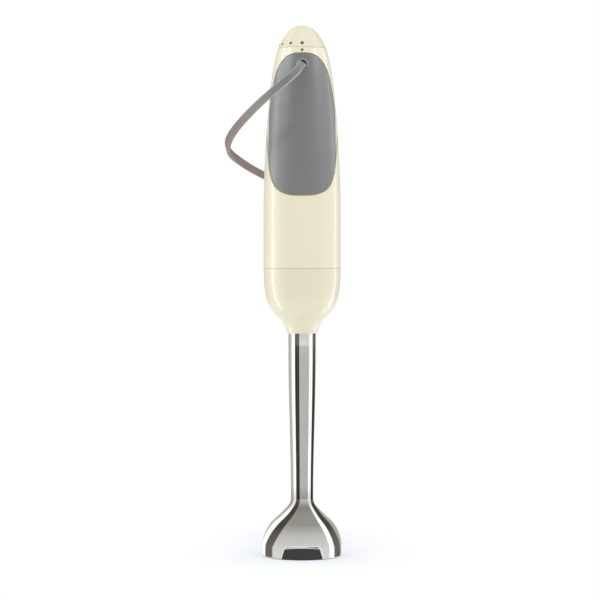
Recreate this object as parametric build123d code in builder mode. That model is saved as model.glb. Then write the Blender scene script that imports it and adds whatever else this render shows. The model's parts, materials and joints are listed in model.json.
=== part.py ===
"""An immersion blender: a motor unit with a speed dial and two buttons, on a plug-in steel blending leg.

Frame, in millimetres: the leg's axis is Z and the foot's rim lies on Z = 0. The cord leaves the rear, which
faces -Y, and the thumb buttons are on the front, which faces +Y.
"""

from build123d import *
import math
import os

os.makedirs("parts", exist_ok=True)

# Gaps between pieces
SEAM = 0.3  # between pieces that move against each other
SNUG = 0.1  # between pieces of one body
RUNNING = 0.05  # radial clearance of a shaft in its bush

# Blocks that cut or shape the casing run from near the axis to beyond every wall
BLOCK_START = 4
BLOCK_REACH = 40

# The turned outlines, as (radius, height)
BELL = [(30, 0), (29.7, 10), (28, 16.4), (22.8, 25), (17.4, 30), (12.4, 35), (9.2, 39.2), (8.4, 43.5)]
LEG_TUBE = [(8.4, 43.5), (8.9, 78.5), (9.85, 116), (10.4, 158)]
COLLAR = [(11.4, 168), (13.1, 173.1), (16, 177.7), (20.5, 182.2), (25.8, 191), (28.3, 201.2), (29.1, 217)]
BODY = [(29.1, 217.3), (29.2, 240), (28.6, 289), (26.5, 325), (23.6, 355.7), (20.7, 373.8), (18.4, 382.5)]
CAP = [(18.2, 382.8), (15.2, 389), (12.2, 393.4), (9.2, 396.8), (4.6, 399.5), (0, 400)]
CAP_INSIDE = [(16, 382.8), (13, 388.5), (9.8, 392.6), (5, 396.4), (0, 397.6)]

# Steel leg
STEEL = 0.9
LEG_TOP = 192
NOTCH_COUNT = 3
NOTCH_HEIGHT = 9.3
NOTCH_TOP_WIDTH = 23
NOTCH_FOOT_WIDTH = 31
NOTCH_CORNER = 3

# Drive
ROD_RADIUS = 2.5
BLADE_HEIGHT = 11
BLADE_THICKNESS = 1.5
BLADE_REACH = 21
BLADE_TILTS = [16, -7, 16, -7]
SPIGOT_RADIUS = 21.7
BASE_SCREW_RADIUS = 1.5
BASE_SCREW_CIRCLE = 14
COUPLING_TOP = 204
DOG_RADIUS = 4.4

# Motor unit
WALL = 2.6
TOP_PLATE = 3.4
BODY_TOP = BODY[-1][1]
GRIP_DEPTH = 1.6
GRIP_PROUD = 0.2
GRIP_GROOVE = 0.35
GRIP = [(0, 377.9), (9.6, 376.5), (15.5, 371.2), (19.5, 363), (22.3, 350), (24.5, 332), (25.3, 312), (24.8, 295)]
GRIP_FOOT = [(24.8, 295), (22.5, 283.2), (18.2, 276), (10, 272.2), (0, 271.6)]
STATOR_LOW = 240
STATOR_HIGH = 274
ARMATURE_RADIUS = 14.2
AIR_GAP = 0.4

# Controls
DOT_HEIGHT = 385.6
DOT_CIRCLE = 17
DOT_LEAN = 26  # the dial's skin at the marks, in degrees from upright
DOT_DEPTH = 0.8
DOT_SIZES = [2.5, 2.1, 1.8, 1.6, 1.4]
DOT_STEP = 30
INDEX_HEIGHT = 380.2
POT_SPINDLE_RADIUS = 3
BUTTON_RADIUS = 6.2
POWER_HEIGHT = 345
TURBO_HEIGHT = 318
BEZEL_DEPTH = 1.5
BEZEL_PROUD = 0.4
BEZEL_WIDTH = 22
BEZEL_LENGTH = 62
BUTTON_SEAT_DEPTH = 5.3  # a button's rear face below the casing's skin
SWITCH_GAP = 4.6  # between a button's rear face and its switch
CLAMP_SCREW_RADIUS = 1.5
CLAMP_SCREW_X = 7.5
CLAMP_SCREW_Z = 365.5

# Mains lead: a flat two-core lead, modelled at its width
CORD_RADIUS = 2.9
CORD_THICKNESS = 3.5
GLAND_HEIGHT = 369.3
GLAND_FACE = -20.5
RECESS_RADIUS = 4.1
CORD_ROUTE = [
    (0, GLAND_FACE, GLAND_HEIGHT),
    (-0.3, -32.5, 369.2),
    (-3.3, -43, 362.3),
    (-17.2, -48, 350.7),
    (-32.8, -42, 337.6),
    (-47.6, -28, 323.6),
    (-56.2, -10, 312.7),
    (-56.2, 9, 305.5),
    (-49.1, 26, 299.8),
    (-36, 37, 291.8),
    (-17, 43.5, 283),
    (-5, 46, 266),
    (0, 47, 243),
    (0, 49.5, 205),
    (0.5, 56, 160),
    (0, 66, 118),
    (0, 79, 82),
    (1, 92, 52),
    (3, 102.5, 29),
    (6, 109.5, 13.5),
    (9.5, 115.5, 5.5),
]
TAIL_ROUTE = [
    (-19.6, 122, 6.5),
    (-18, 114, 10),
    (-12.5, 107.5, 12),
    (-5, 103, 12.9),
    (-0.6, 97, 13.1),
    (0, 90, 13.1),
]
HANK_RADII = [13.2, 16.8, 20.4]
HANK_NEAR = 56
HANK_FAR = 118
PLUG_BASE = 6.2
PLUG_THICKNESS = 13.7
PLUG_PIN_FACE = 54
PLUG_REAR = 90
PIN_RADIUS = 2
PIN_LENGTH = 19
PIN_SPACING = 18.6


def body_radius(height):
    """Outer radius of the motor unit at a height, between the points of its outline."""
    for (low_r, low_z), (high_r, high_z) in zip(BODY, BODY[1:]):
        if low_z <= height <= high_z:
            return low_r + (high_r - low_r) * (height - low_z) / (high_z - low_z)
    raise ValueError("the height is outside the motor unit")


def turned(*outline, mode=Mode.ADD):
    """Revolves a closed straight-sided outline of (radius, height) points about Z."""
    with BuildSketch(Plane.XZ) as section:
        with BuildLine():
            Polyline(*outline, close=True)
        make_face()
    revolve(section.sketch, axis=Axis.Z, mode=mode)


def ring(inner, outer, low, high, mode=Mode.ADD):
    """A plain ring or disc about Z."""
    turned((inner, low), (outer, low), (outer, high), (inner, high), mode=mode)


def body_form(outward=0, shift=0, mode=Mode.ADD):
    """The motor unit's whole form, grown outward and moved along Y."""
    with BuildSketch(Plane.XZ.offset(-shift)) as section:
        with BuildLine():
            outside = Spline(*[(r + outward, z) for r, z in BODY])
            Polyline(outside @ 1, (0, BODY_TOP), (0, BODY[0][1]), outside @ 0)
        make_face()
    revolve(section.sketch, axis=Axis((0, shift, 0), (0, 0, 1)), mode=mode, clean=False)


def grip_block(margin):
    """The rear grip's outline, grown by a margin and extruded out through the rear."""
    middle = (GRIP[0][1] + GRIP_FOOT[-1][1]) / 2
    wider = 1 + margin / GRIP_FOOT[0][0]
    taller = 1 + margin / (GRIP[0][1] - middle)
    side_points = [(x * wider, middle + (z - middle) * taller) for x, z in GRIP]
    foot_points = [(x * wider, middle + (z - middle) * taller) for x, z in GRIP_FOOT]
    with BuildSketch(Plane.XZ.offset(BLOCK_START)) as outline:
        with BuildLine():
            side = Spline(*side_points, tangents=((1, 0), (-0.08, -1)))
            foot = Spline(*foot_points, tangents=((-0.08, -1), (-1, 0)))
            mirror(side, about=Plane.YZ)
            mirror(foot, about=Plane.YZ)
        make_face()
    extrude(outline.sketch, amount=BLOCK_REACH)


def bezel_block(margin):
    """The button panel's outline, grown by a margin and extruded out through the front."""
    middle = (POWER_HEIGHT + TURBO_HEIGHT) / 2
    with BuildSketch(Plane.XZ.offset(-BLOCK_START)) as outline:
        with Locations((0, middle)):
            RectangleRounded(BEZEL_WIDTH + 2 * margin, BEZEL_LENGTH + 2 * margin, BEZEL_WIDTH / 2 - 0.5)
    extrude(outline.sketch, amount=-BLOCK_REACH)


def rod_along_y(radius, start, end, x=0, z=0, mode=Mode.ADD):
    """A round bar along Y from one depth to another."""
    with BuildSketch(Plane.XZ.offset(-start)) as section:
        with Locations((x, z)):
            Circle(radius)
    extrude(section.sketch, amount=start - end, mode=mode, clean=False)


def block(x, y, z, mode=Mode.ADD):
    """A box between the low and high ends given for each axis."""
    with Locations(((x[0] + x[1]) / 2, (y[0] + y[1]) / 2, (z[0] + z[1]) / 2)):
        Box(x[1] - x[0], y[1] - y[0], z[1] - z[0], mode=mode)


def finish(part, name):
    """Labels a finished piece and writes its STEP file."""
    part.label = name
    export_step(part, f"parts/{name}.step")


# ---------------------------------------------------------------- blending leg
with BuildPart() as steel_leg:
    with BuildSketch(Plane.XZ) as leg_section:
        with BuildLine():
            bell = Spline(*BELL, tangents=((-0.01, 1), (0, 1)))
            tube = Spline(*LEG_TUBE, tangents=((0, 1), (0, 1)))
            Polyline(tube @ 1, (LEG_TUBE[-1][0], LEG_TOP), (LEG_TUBE[-1][0] - STEEL, LEG_TOP))
            bore = Spline(*[(r - STEEL, z) for r, z in LEG_TUBE], tangents=((0, 1), (0, 1)))
            Line((LEG_TUBE[-1][0] - STEEL, LEG_TOP), bore @ 1)
            hollow = [(r - 0.8 * STEEL, z - 0.65 * STEEL) for r, z in BELL[1:-1]]
            inside = Spline((BELL[0][0] - STEEL, 0), *hollow, bore @ 0, tangents=((-0.01, 1), (0, 1)))
            Line(inside @ 0, bell @ 0)
        make_face()
    revolve(axis=Axis.Z)
    for notch in range(NOTCH_COUNT):
        facing = math.radians(360 / NOTCH_COUNT * notch - 90)
        outward = Vector(math.cos(facing), math.sin(facing), 0)
        with BuildSketch(Plane((0, 0, 0), x_dir=outward.cross(Vector(0, 0, -1)), z_dir=outward)) as notch_outline:
            with BuildLine():
                notch_top = NOTCH_TOP_WIDTH / 2
                notch_foot = NOTCH_FOOT_WIDTH / 2
                Polyline(
                    (-notch_foot - 0.5, -1), (-notch_top, NOTCH_HEIGHT), (notch_top, NOTCH_HEIGHT),
                    (notch_foot + 0.5, -1), close=True,
                )
            make_face()
            fillet(notch_outline.vertices().group_by(Axis.Z)[-1], NOTCH_CORNER)
        extrude(notch_outline.sketch, amount=BLOCK_REACH, mode=Mode.SUBTRACT)
finish(steel_leg.part, "steel_leg")

with BuildPart() as leg_collar:
    with BuildSketch(Plane.XZ) as collar_section:
        with BuildLine():
            collar_outside = Spline(*COLLAR, tangents=((0.05, 1), (0, 1)))
            Polyline(collar_outside @ 1, (26.2, 217), (26.2, 203))
            collar_inside = Spline((26.2, 203), (23.6, 192.4), (18.5, 184.5), (13, 180.5))
            Polyline(
                collar_inside @ 1, (10.5, 180.5), (10.5, 172), (11.4, 172), (11.4, 170), (10.5, 170),
                (10.5, 168), collar_outside @ 0,
            )
        make_face()
    revolve(axis=Axis.Z)
finish(leg_collar.part, "leg_collar")

with BuildPart() as neck_seal:
    ring(10.5, 11.3, 170.1, 171.9)
finish(neck_seal.part, "neck_seal")

with BuildPart() as leg_hub:
    turned(
        (10.5, 180.7), (12.3, 180.7), (12.3, 190.2), (21.5, 192.2), (24.2, 199), (26.1, 206), (26.1, 216.6),
        (SPIGOT_RADIUS + 0.75, 216.6), (SPIGOT_RADIUS + 0.75, 198.5), (20.5, 196), (9.2, 196), (9.2, 192.2),
        (10.5, 192.2),
    )
finish(leg_hub.part, "leg_hub")

with BuildPart() as upper_bush:
    ring(ROD_RADIUS + RUNNING, 9.4, 176, 186)
finish(upper_bush.part, "upper_bush")

with BuildPart() as lower_bearing_carrier:
    turned((5.2, 30), (7.4, 30), (7.4, 56), (4.1, 56), (4.1, 38), (5.2, 38))
finish(lower_bearing_carrier.part, "lower_bearing_carrier")

with BuildPart() as lower_bush:
    ring(ROD_RADIUS + RUNNING, 4.1, 39, 55)
finish(lower_bush.part, "lower_bush")

with BuildPart() as shaft_seal:
    turned((ROD_RADIUS + RUNNING, 34), (3.4, 31), (5.2, 31), (5.2, 37), (ROD_RADIUS + RUNNING, 37))
finish(shaft_seal.part, "shaft_seal")

# ---------------------------------------------------------------- blade shaft
with BuildPart() as drive_rod:
    ring(0, ROD_RADIUS, 8, 193)
finish(drive_rod.part, "drive_rod")

with BuildPart() as blade:
    ring(ROD_RADIUS, 6, BLADE_HEIGHT, BLADE_HEIGHT + BLADE_THICKNESS)
    for wing, tilt in enumerate(BLADE_TILTS):
        turn = Rotation(0, 0, 90 * wing + 45) * Rotation(0, -tilt, 0)
        with BuildSketch(Plane(turn).offset(BLADE_HEIGHT)) as wing_outline:
            with BuildLine():
                Polyline((3.6, -4.2), (BLADE_REACH - 4, -4.2), (BLADE_REACH, 0.5), (BLADE_REACH - 1, 2.6),
                         (3.6, 4.2), close=True)
            make_face()
        extrude(wing_outline.sketch, amount=BLADE_THICKNESS)
    ring(0, ROD_RADIUS, 0, 30, mode=Mode.SUBTRACT)
finish(blade.part, "blade")

with BuildPart() as blade_hub:
    ring(ROD_RADIUS, 5.4, BLADE_HEIGHT + 4.2, 27)
    turned((0, 6.2), (4.6, 6.2), (5.4, 7), (5.4, 9.4), (ROD_RADIUS, 9.4), (ROD_RADIUS, 8), (0, 8))
finish(blade_hub.part, "blade_hub")

with BuildPart() as thrust_washer:
    ring(ROD_RADIUS, 4.8, 27.2, 28.8)
finish(thrust_washer.part, "thrust_washer")

with BuildPart() as leg_coupling:
    turned((ROD_RADIUS, 188.5), (6.5, 188.5), (8.2, 190.5), (8.2, COUPLING_TOP), (0, COUPLING_TOP), (0, 193),
           (ROD_RADIUS, 193))
    with BuildSketch(Plane.XY.offset(195)) as socket:
        RegularPolygon(DOG_RADIUS + 0.8, 6)
    extrude(socket.sketch, amount=COUPLING_TOP - 195, mode=Mode.SUBTRACT)
finish(leg_coupling.part, "leg_coupling")

# ---------------------------------------------------------------- motor unit: casing
with BuildPart() as grip_pocket:
    grip_block(GRIP_GROOVE)
    body_form(shift=GRIP_DEPTH + SNUG, mode=Mode.SUBTRACT)

with BuildPart() as bezel_pocket:
    bezel_block(GRIP_GROOVE / 2)
    body_form(shift=-BEZEL_DEPTH - SNUG, mode=Mode.SUBTRACT)

with BuildPart() as main_housing:
    with BuildSketch(Plane.XZ) as housing_section:
        with BuildLine():
            housing_outside = Spline(*BODY)
            ceiling = BODY_TOP - TOP_PLATE
            housing_inside = Spline(*[(r - WALL, z) for r, z in BODY[:-1]], (16.4, ceiling))
            Polyline(
                housing_outside @ 1, (POT_SPINDLE_RADIUS + 0.6, BODY_TOP), (POT_SPINDLE_RADIUS + 0.6, ceiling),
                housing_inside @ 1,
            )
            Line(housing_inside @ 0, housing_outside @ 0)
        make_face()
    revolve(axis=Axis.Z)
    add(grip_pocket.part, mode=Mode.SUBTRACT, clean=False)
    add(bezel_pocket.part, mode=Mode.SUBTRACT, clean=False)
    rod_along_y(3.7, -10, -30, z=GLAND_HEIGHT, mode=Mode.SUBTRACT)
    for button_height in (POWER_HEIGHT, TURBO_HEIGHT):
        rod_along_y(BUTTON_RADIUS + 1.9, 12, 35, z=button_height, mode=Mode.SUBTRACT)
    rod_along_y(DOT_SIZES[1] / 2, -18.6, -25, z=INDEX_HEIGHT, mode=Mode.SUBTRACT)
finish(main_housing.part, "main_housing")

with BuildPart() as index_dot:
    rod_along_y(DOT_SIZES[1] / 2, -18.6, -body_radius(INDEX_HEIGHT) - 0.1, z=INDEX_HEIGHT)
finish(index_dot.part, "index_dot")

with BuildPart() as rear_grip:
    grip_block(0)
    body_form(outward=GRIP_PROUD, mode=Mode.INTERSECT)
    body_form(shift=GRIP_DEPTH, mode=Mode.SUBTRACT)
    rod_along_y(RECESS_RADIUS, -10, -30, z=GLAND_HEIGHT, mode=Mode.SUBTRACT)
finish(rear_grip.part, "rear_grip")

with BuildPart() as button_bezel:
    bezel_block(0)
    body_form(outward=BEZEL_PROUD, mode=Mode.INTERSECT)
    body_form(shift=-BEZEL_DEPTH, mode=Mode.SUBTRACT)
    for button_height in (POWER_HEIGHT, TURBO_HEIGHT):
        rod_along_y(BUTTON_RADIUS + SEAM, 12, 35, z=button_height, mode=Mode.SUBTRACT)
finish(button_bezel.part, "button_bezel")

with BuildPart() as motor_base:
    turned(
        (18.5, 203), (SPIGOT_RADIUS, 203), (SPIGOT_RADIUS, 207), (SPIGOT_RADIUS - 1.4, 207),
        (SPIGOT_RADIUS - 1.4, 209.2), (SPIGOT_RADIUS, 209.2), (SPIGOT_RADIUS, 217.3), (26.3, 217.3),
        (26.3, 221.2), (7.5, 221.2), (7.5, 211), (9.5, 211), (9.5, 217.3), (18.5, 217.3),
    )
    with PolarLocations(BASE_SCREW_CIRCLE, 3):
        with Locations((0, 0, 218)):
            Cylinder(BASE_SCREW_RADIUS, 12, mode=Mode.SUBTRACT)
finish(motor_base.part, "motor_base")

with BuildPart() as spigot_o_ring:
    with BuildSketch(Plane.XZ) as o_ring_section:
        with Locations((SPIGOT_RADIUS - 0.4, 208.1)):
            Circle(0.95)
    revolve(axis=Axis.Z)
finish(spigot_o_ring.part, "spigot_o_ring")

with BuildPart() as base_screws:
    with PolarLocations(BASE_SCREW_CIRCLE, 3):
        with Locations((0, 0, 220.4)):
            Cylinder(BASE_SCREW_RADIUS, 6.2)
        with Locations((0, 0, 216.3)):
            Cylinder(2.6, 2)
finish(base_screws.part, "base_screws")

# ---------------------------------------------------------------- motor unit: motor
with BuildPart() as lower_bracket:
    turned((8, 221.3), (23, 221.3), (23, 224), (10.4, 224), (10.4, 230), (8, 230))
    with PolarLocations(BASE_SCREW_CIRCLE, 3):
        with Locations((0, 0, 223)):
            Cylinder(BASE_SCREW_RADIUS, 8, mode=Mode.SUBTRACT)
    for side in (-1, 1):
        block((side * 21 - 2.5, side * 21 + 2.5), (-5, 5), (221.3, STATOR_LOW))
finish(lower_bracket.part, "lower_bracket")

with BuildPart() as lower_bearing:
    ring(ROD_RADIUS + RUNNING, 4.2, 222.5, 229)
    ring(6.6, 8, 222.5, 229)
    with PolarLocations(5.4, 8):
        with Locations((0, 0, 225.75)):
            Sphere(1.18)
finish(lower_bearing.part, "lower_bearing")

with BuildPart() as stator_core:
    with BuildSketch(Plane.XY.offset(STATOR_LOW)) as lamination:
        Circle(25)
        Rectangle(52, 39, mode=Mode.INTERSECT)
        Circle(ARMATURE_RADIUS + AIR_GAP, mode=Mode.SUBTRACT)
        with Locations((0, 11.5), (0, -11.5)):
            Rectangle(26, 9, mode=Mode.SUBTRACT)
    extrude(amount=STATOR_HIGH - STATOR_LOW)
finish(stator_core.part, "stator_core")

with BuildPart() as field_coils:
    for side in (-1, 1):
        block((-12.8, 12.8), (side * 13 - 2.6, side * 13 + 2.6), (STATOR_LOW - 4, STATOR_HIGH + 4))
    ring(0, ARMATURE_RADIUS + 0.9, STATOR_LOW - 10, STATOR_HIGH + 10, mode=Mode.SUBTRACT)
finish(field_coils.part, "field_coils")

with BuildPart() as motor_mount_ring:
    ring(25.1, 26.3, 252, 262)
finish(motor_mount_ring.part, "motor_mount_ring")

with BuildPart() as upper_bracket:
    turned((6.6, 293), (8.4, 293), (8.4, 297), (20.5, 297), (20.5, 299.5), (6.6, 299.5))
    for side in (-1, 1):
        block((side * 19 - 1.5, side * 19 + 1.5), (-6, 6), (STATOR_HIGH, 297.2))
finish(upper_bracket.part, "upper_bracket")

with BuildPart() as upper_bearing:
    ring(ROD_RADIUS + RUNNING, 6.6, 293.3, 299.2)
finish(upper_bearing.part, "upper_bearing")

with BuildPart() as motor_bolts:
    for bolt_x in (-22.6, 22.6):
        with Locations((bolt_x, 0, 277)):
            Cylinder(1.6, 6)
finish(motor_bolts.part, "motor_bolts")

with BuildPart() as brush_holders:
    for side in (-1, 1):
        block((side * 13 - 4.2, side * 13 + 4.2), (-4, 4), (281.5, 290.5))
        block((side * 13 - 4.5, side * 13 + 4.5), (-2.6, 2.6), (283, 289), mode=Mode.SUBTRACT)
finish(brush_holders.part, "brush_holders")

with BuildPart() as carbon_brushes:
    for side in (-1, 1):
        block((side * 12 - 4.2, side * 12 + 4.2), (-2.5, 2.5), (283.1, 288.9))
finish(carbon_brushes.part, "carbon_brushes")

# ---------------------------------------------------------------- rotor
with BuildPart() as rotor_shaft:
    ring(0, ROD_RADIUS, 203, 301)
finish(rotor_shaft.part, "rotor_shaft")

with BuildPart() as drive_dog:
    with BuildSketch(Plane.XY.offset(199.5)) as dog_outline:
        RegularPolygon(DOG_RADIUS, 6)
    extrude(amount=9)
    ring(0, ROD_RADIUS, 203, 215, mode=Mode.SUBTRACT)
    chamfer(drive_dog.faces().sort_by(Axis.Z)[0].edges(), 0.6)
finish(drive_dog.part, "drive_dog")

with BuildPart() as fan:
    ring(ROD_RADIUS, 17.8, 231.5, 232.7)
    ring(ROD_RADIUS, 6, 232.7, 235.5)
    with PolarLocations(11.8, 9):
        with Locations((0, 0, 233.9)):
            Box(11.8, 1, 2.6)
finish(fan.part, "fan")

with BuildPart() as armature_core:
    with BuildSketch(Plane.XY.offset(STATOR_LOW)) as armature_outline:
        Circle(ARMATURE_RADIUS)
        with PolarLocations(ARMATURE_RADIUS - 1.6, 12):
            Rectangle(5, 2.2, mode=Mode.SUBTRACT)
        Circle(ROD_RADIUS, mode=Mode.SUBTRACT)
    extrude(amount=STATOR_HIGH - STATOR_LOW)
finish(armature_core.part, "armature_core")

with BuildPart() as armature_windings:
    ring(ROD_RADIUS, 11.6, STATOR_LOW - 3.6, STATOR_LOW)
    ring(ROD_RADIUS, 11.6, STATOR_HIGH, STATOR_HIGH + 4.6)
finish(armature_windings.part, "armature_windings")

with BuildPart() as commutator:
    ring(ROD_RADIUS, 7.4, 280.4, 291)
    with PolarLocations(7.4, 24):
        with Locations((0, 0, 286)):
            Box(1.4, 0.5, 11, mode=Mode.SUBTRACT)
finish(commutator.part, "commutator")

# ---------------------------------------------------------------- motor unit: controls
with BuildPart() as chassis:
    block((-14, 14), (-1, 1), (303, 370))
    for side in (-1, 1):
        block((side * 15 - 1, side * 15 + 1), (-6, 6), (303, 352))
finish(chassis.part, "chassis")

with BuildPart() as control_board:
    block((-12.5, 12.5), (1.2, 2.8), (306, 368))
finish(control_board.part, "control_board")

with BuildPart() as heat_sink:
    block((-12, -2), (-3.4, -1.2), (306, 326))
    for fin in range(4):
        block((-11.5 + 2.8 * fin, -10.5 + 2.8 * fin), (-9, -3.4), (306, 326))
finish(heat_sink.part, "heat_sink")

with BuildPart() as capacitor:
    with Locations((6.5, -6.6, 318)):
        Cylinder(5.2, 22)
finish(capacitor.part, "capacitor")

with BuildPart() as speed_pot:
    ring(POT_SPINDLE_RADIUS + RUNNING, 8, 372.5, 378.9)
finish(speed_pot.part, "speed_pot")

with BuildPart() as cord_gland:
    rod_along_y(3.6, GLAND_FACE, -15.2, z=GLAND_HEIGHT)
    rod_along_y(5.6, -15.2, -12.6, z=GLAND_HEIGHT)
finish(cord_gland.part, "cord_gland")

with BuildPart() as cord_clamp:
    block((-10.5, 10.5), (-6.6, -3.6), (362, 369))
    for side in (-1, 1):
        rod_along_y(CLAMP_SCREW_RADIUS, 0, -12, x=side * CLAMP_SCREW_X, z=CLAMP_SCREW_Z, mode=Mode.SUBTRACT)
finish(cord_clamp.part, "cord_clamp")

with BuildPart() as clamp_screws:
    for side in (-1, 1):
        rod_along_y(CLAMP_SCREW_RADIUS, -1.1, -6.6, x=side * CLAMP_SCREW_X, z=CLAMP_SCREW_Z)
        rod_along_y(2.6, -6.6, -8.4, x=side * CLAMP_SCREW_X, z=CLAMP_SCREW_Z)
finish(clamp_screws.part, "clamp_screws")


def button_seat(height):
    """Where a button's rear face is at rest, along Y."""
    return body_radius(height) - BUTTON_SEAT_DEPTH


def button(height):
    """A round push button with a retaining flange behind the panel."""
    seat = button_seat(height)
    rod_along_y(BUTTON_RADIUS + 1.2, seat, seat + 1.4, z=height)
    rod_along_y(BUTTON_RADIUS, seat + 1.4, seat + 7.3, z=height)


def plunger(height):
    """The switch's own pin, which follows the button."""
    rod_along_y(1.5, button_seat(height) - 6.5, button_seat(height), z=height)


def switch(height):
    """A micro switch with a hole for its plunger."""
    face = button_seat(height) - SWITCH_GAP
    block((-6, 6), (2.9, face), (height - 5, height + 5))
    rod_along_y(1.8, face - 5.2, face, z=height, mode=Mode.SUBTRACT)


with BuildPart() as power_button:
    button(POWER_HEIGHT)
    fillet(power_button.faces().sort_by(Axis.Y)[-1].edges(), 1.6)
finish(power_button.part, "power_button")

with BuildPart() as turbo_button:
    button(TURBO_HEIGHT)
    fillet(turbo_button.faces().sort_by(Axis.Y)[-1].edges(), 1.6)
finish(turbo_button.part, "turbo_button")

with BuildPart() as power_plunger:
    plunger(POWER_HEIGHT)
finish(power_plunger.part, "power_plunger")

with BuildPart() as turbo_plunger:
    plunger(TURBO_HEIGHT)
finish(turbo_plunger.part, "turbo_plunger")

with BuildPart() as power_switch:
    switch(POWER_HEIGHT)
finish(power_switch.part, "power_switch")

with BuildPart() as turbo_switch:
    switch(TURBO_HEIGHT)
finish(turbo_switch.part, "turbo_switch")


# ---------------------------------------------------------------- speed dial
def dial_dot(index, low, high):
    """A round inlay in the dial's skirt, from one depth to another along the skin's normal."""
    around = math.radians(-90 - DOT_STEP * index)
    lean = math.radians(DOT_LEAN)
    normal = Vector(math.cos(around) * math.cos(lean), math.sin(around) * math.cos(lean), math.sin(lean))
    centre = Vector(DOT_CIRCLE * math.cos(around), DOT_CIRCLE * math.sin(around), DOT_HEIGHT)
    with BuildSketch(Plane(centre + normal * low, z_dir=normal)) as section:
        Circle(DOT_SIZES[index] / 2)
    return extrude(section.sketch, amount=high - low, mode=Mode.PRIVATE)


with BuildPart() as dial_cap:
    with BuildSketch(Plane.XZ) as cap_section:
        with BuildLine():
            cap_outside = Spline(*CAP, tangents=((-0.42, 0.9), (-1, 0)))
            cap_inside = Spline(*CAP_INSIDE, tangents=((-0.3, 0.9), (-1, 0)))
            Line(cap_inside @ 0, cap_outside @ 0)
            Line(cap_inside @ 1, cap_outside @ 1)
        make_face()
    revolve(axis=Axis.Z)
    ring(POT_SPINDLE_RADIUS, 5.4, 384, 397)
    for dot in range(len(DOT_SIZES)):
        add(dial_dot(dot, -DOT_DEPTH, 3), mode=Mode.SUBTRACT)
finish(dial_cap.part, "dial_cap")

with BuildPart() as dial_dots:
    for dot in range(len(DOT_SIZES)):
        add(dial_dot(dot, -DOT_DEPTH, 0.2))
finish(dial_dots.part, "dial_dots")

with BuildPart() as pot_spindle:
    ring(0, POT_SPINDLE_RADIUS, 373.5, 394.5)
finish(pot_spindle.part, "pot_spindle")


# ---------------------------------------------------------------- mains lead
def corner_radii(route):
    """The largest arc for each corner of a route: 0.45 of its shorter run over the tangent of half its turn."""
    radii = []
    for before, corner, after in zip(route, route[1:], route[2:]):
        arriving = Vector(*corner) - Vector(*before)
        leaving = Vector(*after) - Vector(*corner)
        half_turn = math.radians(arriving.get_angle(leaving)) / 2
        radii.append(0.45 * min(arriving.length, leaving.length) / math.tan(half_turn))
    return radii


def lead(route, name):
    """A round tube of the lead's width along a route of straight runs and tangent arcs."""
    radii = corner_radii(route)
    with BuildLine() as route_line:
        FilletPolyline(*route, radius=radii)
    path = route_line.wires()[0]
    with BuildSketch(Plane(path @ 0, z_dir=path % 0)) as section:
        Circle(CORD_RADIUS)
    tube = sweep(section.sketch, path=path)
    length = path.length
    share = tube.volume / (math.pi * CORD_RADIUS**2 * length)
    print(name, "length", round(length, 1), "volume over section times length", round(share, 3))
    print(name, "radii", [round(radius, 1) for radius in radii])


with BuildPart() as cord:
    lead(CORD_ROUTE, "cord")
finish(cord.part, "cord")

with BuildPart() as cord_tail:
    lead(TAIL_ROUTE, "cord_tail")
finish(cord_tail.part, "cord_tail")

with BuildPart() as cord_hank:
    hank_middle = (HANK_NEAR + HANK_FAR) / 2
    hank_outer = HANK_RADII[-1] + CORD_THICKNESS / 2
    hank_inner = HANK_RADII[0] - CORD_THICKNESS / 2
    with BuildSketch(Plane.XY) as hank_outline:
        with Locations((0, hank_middle)):
            SlotCenterToCenter(HANK_FAR - HANK_NEAR, 2 * hank_outer, rotation=90)
            SlotCenterToCenter(HANK_FAR - HANK_NEAR, 2 * hank_inner, rotation=90, mode=Mode.SUBTRACT)
    extrude(amount=2 * CORD_RADIUS)
finish(cord_hank.part, "cord_hank")
hank_length = sum(2 * (HANK_FAR - HANK_NEAR) + 2 * math.pi * radius for radius in HANK_RADII)
print("hank length", round(hank_length, 1))

with BuildPart() as plug_body:
    with BuildSketch(Plane.XY.offset(PLUG_BASE)) as plug_outline:
        with BuildLine():
            Polyline(
                (-17.6, PLUG_PIN_FACE), (17.6, PLUG_PIN_FACE), (17.6, 61), (8, 83), (5.6, PLUG_REAR),
                (-5.6, PLUG_REAR), (-8, 83), (-17.6, 61), close=True,
            )
        make_face()
    extrude(amount=PLUG_THICKNESS)
    chamfer(plug_body.faces().group_by(Axis.Z)[-1].edges().filter_by(GeomType.LINE), 1.5)
    chamfer(plug_body.faces().group_by(Axis.Z)[0].edges().filter_by(GeomType.LINE), 1.5)
finish(plug_body.part, "plug_body")

with BuildPart() as plug_pins:
    for side in (-1, 1):
        rod_along_y(
            PIN_RADIUS, PLUG_PIN_FACE, PLUG_PIN_FACE - PIN_LENGTH, x=side * PIN_SPACING / 2,
            z=PLUG_BASE + PLUG_THICKNESS / 2,
        )
    fillet(plug_pins.faces().group_by(Axis.Y)[0].edges(), 0.9)
finish(plug_pins.part, "plug_pins")


def return_spring(height, name):
    """A helical return spring round a plunger, between its switch and its button."""
    coils = 4
    wire = 0.35
    low = button_seat(height) - SWITCH_GAP + wire + SNUG
    length = SWITCH_GAP - 2 * wire - 2 * SNUG
    with BuildPart() as coil:
        with BuildLine():
            winding = Helix(length / coils, length, 3.4, center=(0, low, height), direction=(0, 1, 0))
        with BuildSketch(Plane(winding @ 0, z_dir=winding % 0)):
            Circle(wire)
        sweep(path=winding)
    finish(coil.part, name)


return_spring(POWER_HEIGHT, "power_spring")
return_spring(TURBO_HEIGHT, "turbo_spring")
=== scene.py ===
"""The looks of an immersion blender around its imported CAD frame, in metres."""

import json
import math

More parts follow.
